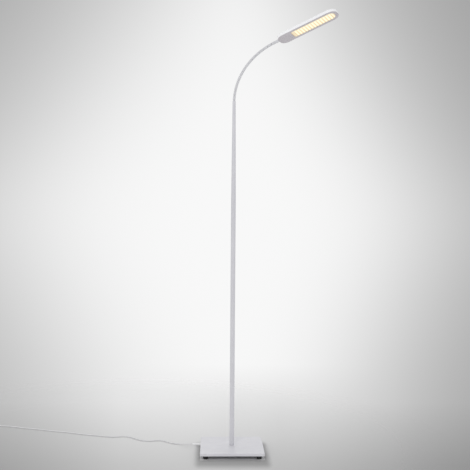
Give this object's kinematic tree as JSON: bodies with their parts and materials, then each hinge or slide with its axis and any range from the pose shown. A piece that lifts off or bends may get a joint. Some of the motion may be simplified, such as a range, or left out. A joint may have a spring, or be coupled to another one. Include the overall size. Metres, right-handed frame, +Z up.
{
  "type": "gooseneck floor lamp",
  "caption": "Slim floor lamp: square plate base, straight pole, ball-jointed flexible neck and a flat rounded LED head with a ribbed lens window, thin lead with plug-in supply",
  "frame": {"origin": "bottom centre of the lamp's box without its lead, on the floor", "axes": "+Z up, +X towards the side the head reaches over, +Y away from the viewer of the picture"},
  "size_m": [1.2325, 0.4949, 1.3721],
  "materials": {
    "white_enamel": "satin powder coat",
    "neck_white": "satin white coat on turned links",
    "shell_white": "smooth moulded",
    "panel_grey": "fine texture",
    "lens_clear": "ribbed, translucent",
    "board_white": "solder-masked board",
    "led_glow": "warm white chips",
    "sheet_aluminium": "rolled",
    "zinc_steel": "zinc plated",
    "bush_brass": "turned",
    "touch_grey": "polished inlay",
    "foot_rubber": "matt black",
    "cord_white": "soft sheath",
    "tie_black": "soft strap",
    "supply_white": "fine spark texture"
  },
  "bodies": {
    "stand": {"base_plate": "white_enamel", "foot_front_left": "foot_rubber", "foot_front_right": "foot_rubber", "foot_rear_left": "foot_rubber", "foot_rear_right": "foot_rubber", "foot_screws": "zinc_steel", "base_washer": "zinc_steel", "base_nut": "zinc_steel", "foot_stud": "zinc_steel", "pole_lower": "white_enamel", "pole_middle": "white_enamel", "pole_upper": "white_enamel", "foot_bush": "bush_brass", "joint_bush_1_lower": "bush_brass", "joint_bush_1_upper": "bush_brass", "joint_bush_2_lower": "bush_brass", "joint_bush_2_upper": "bush_brass", "joint_stud_1": "zinc_steel", "joint_stud_2": "zinc_steel", "neck_collar": "neck_white", "lead_gland": "cord_white", "gland_screw": "zinc_steel", "inner_lead": "cord_white", "cable_clips": "cord_white", "strain_relief": "cord_white", "cord": "cord_white", "cord_coil": "cord_white", "coil_tie": "tie_black", "supply_relief": "supply_white", "supply_lower_case": "supply_white", "supply_upper_case": "supply_white", "supply_pins": "bush_brass"},
    "link_01": {"neck_link_01": "neck_white"},
    "link_02": {"neck_link_02": "neck_white"},
    "link_03": {"neck_link_03": "neck_white"},
    "link_04": {"neck_link_04": "neck_white"},
    "link_05": {"neck_link_05": "neck_white"},
    "link_06": {"neck_link_06": "neck_white"},
    "link_07": {"neck_link_07": "neck_white"},
    "link_08": {"neck_link_08": "neck_white"},
    "link_09": {"neck_link_09": "neck_white"},
    "link_10": {"neck_link_10": "neck_white"},
    "link_11": {"neck_link_11": "neck_white"},
    "link_12": {"neck_link_12": "neck_white"},
    "link_13": {"neck_link_13": "neck_white"},
    "link_14": {"neck_link_14": "neck_white"},
    "head": {"neck_end_stem": "neck_white", "head_top_shell": "shell_white", "head_under_panel": "panel_grey", "led_lens": "lens_clear", "led_board": "board_white", "leds": "led_glow", "heat_spreader": "sheet_aluminium", "board_screws": "zinc_steel", "control_board": "board_white", "touch_disc": "touch_grey", "neck_clamp": "panel_grey", "clamp_screw": "zinc_steel"}
  },
  "joints": [
    {"name": "neck_bend_01", "type": "hinge", "parent": "stand", "child": "link_01", "pos_m": [-0.10593, 0.03651, 1.1252], "axis": [0.4493, 0.8934, 0], "range_deg": [-8.5, 7]},
    {"name": "neck_side_02", "type": "hinge", "parent": "link_01", "child": "link_02", "pos_m": [-0.1045, 0.03578, 1.14112], "axis": [0.8834, -0.4443, -0.149], "range_deg": [-7.5, 7.5]},
    {"name": "neck_bend_03", "type": "hinge", "parent": "link_02", "child": "link_03", "pos_m": [-0.10168, 0.03436, 1.15681], "axis": [0.4493, 0.8934, 0], "range_deg": [-8.5, 7]},
    {"name": "neck_side_04", "type": "hinge", "parent": "link_03", "child": "link_04", "pos_m": [-0.09754, 0.03228, 1.17212], "axis": [0.8422, -0.4236, -0.3336], "range_deg": [-7.5, 7.5]},
    {"name": "neck_bend_05", "type": "hinge", "parent": "link_04", "child": "link_05", "pos_m": [-0.09215, 0.02957, 1.18694], "axis": [0.4493, 0.8934, 0], "range_deg": [-8.5, 7]},
    {"name": "neck_side_06", "type": "hinge", "parent": "link_05", "child": "link_06", "pos_m": [-0.0856, 0.02628, 1.20116], "axis": [0.7753, -0.39, -0.4968], "range_deg": [-7.5, 7.5]},
    {"name": "neck_bend_07", "type": "hinge", "parent": "link_06", "child": "link_07", "pos_m": [-0.07796, 0.02244, 1.21469], "axis": [0.4493, 0.8934, 0], "range_deg": [-8.5, 7]},
    {"name": "neck_side_08", "type": "hinge", "parent": "link_07", "child": "link_08", "pos_m": [-0.06933, 0.0181, 1.22744], "axis": [0.6896, -0.3468, -0.6358], "range_deg": [-7.5, 7.5]},
    {"name": "neck_bend_09", "type": "hinge", "parent": "link_08", "child": "link_09", "pos_m": [-0.0598, 0.0133, 1.23937], "axis": [0.4493, 0.8934, 0], "range_deg": [-8.5, 7]},
    {"name": "neck_side_10", "type": "hinge", "parent": "link_09", "child": "link_10", "pos_m": [-0.04946, 0.0081, 1.25041], "axis": [0.5914, -0.2974, -0.7495], "range_deg": [-7.5, 7.5]},
    {"name": "neck_bend_11", "type": "hinge", "parent": "link_10", "child": "link_11", "pos_m": [-0.03839, 0.00253, 1.26053], "axis": [0.4493, 0.8934, 0], "range_deg": [-8.5, 7]},
    {"name": "neck_side_12", "type": "hinge", "parent": "link_11", "child": "link_12", "pos_m": [-0.02669, -0.00335, 1.26972], "axis": [0.4865, -0.2447, -0.8387], "range_deg": [-7.5, 7.5]},
    {"name": "neck_bend_13", "type": "hinge", "parent": "link_12", "child": "link_13", "pos_m": [-0.01443, -0.00952, 1.27795], "axis": [0.4493, 0.8934, 0], "range_deg": [-8.5, 7]},
    {"name": "neck_side_14", "type": "hinge", "parent": "link_13", "child": "link_14", "pos_m": [-0.0017, -0.01592, 1.28522], "axis": [0.3799, -0.191, -0.9051], "range_deg": [-7.5, 7.5]},
    {"name": "neck_bend_15", "type": "hinge", "parent": "link_14", "child": "head", "pos_m": [0.01143, -0.02252, 1.29155], "axis": [0.4493, 0.8934, 0], "range_deg": [-8.5, 7]}
  ]
}
